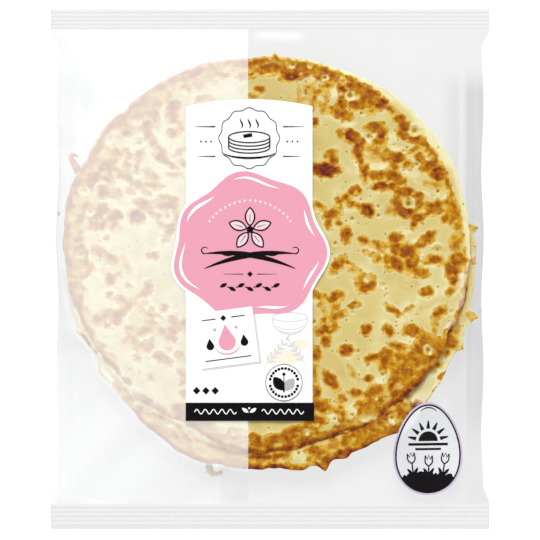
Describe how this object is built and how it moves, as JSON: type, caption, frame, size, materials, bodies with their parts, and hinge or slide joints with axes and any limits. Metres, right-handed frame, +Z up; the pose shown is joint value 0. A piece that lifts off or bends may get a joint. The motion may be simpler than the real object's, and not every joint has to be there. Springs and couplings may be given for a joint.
{
  "type": "sealed pack of vanilla crepes",
  "caption": "Clear sealed flow pack holding a flat round stack of soft vanilla crepes, label up, with crimped seals at both ends and a milky printed half.",
  "frame": {"origin": "middle of the bag's base, on the surface the pack lies on", "axes": "+X to the label's right, +Y from the bottom seal to the top seal, +Z up, out of the printed front"},
  "size_m": [0.1902, 0.2254, 0.0155],
  "materials": {
    "film": "thin clear glossy film, crimped at the seals",
    "milky_print": "glossy film with a translucent white print",
    "crepe": "soft pale yellow baked batter with brown spots, slightly greasy under film",
    "label_print": "opaque white print on film with fields of pink and black",
    "badge_print": "opaque print on film, pale lilac with black"
  },
  "bodies": {
    "root": {"bag": "film", "label": "label_print", "egg_badge": "badge_print"}
  },
  "joints": []
}
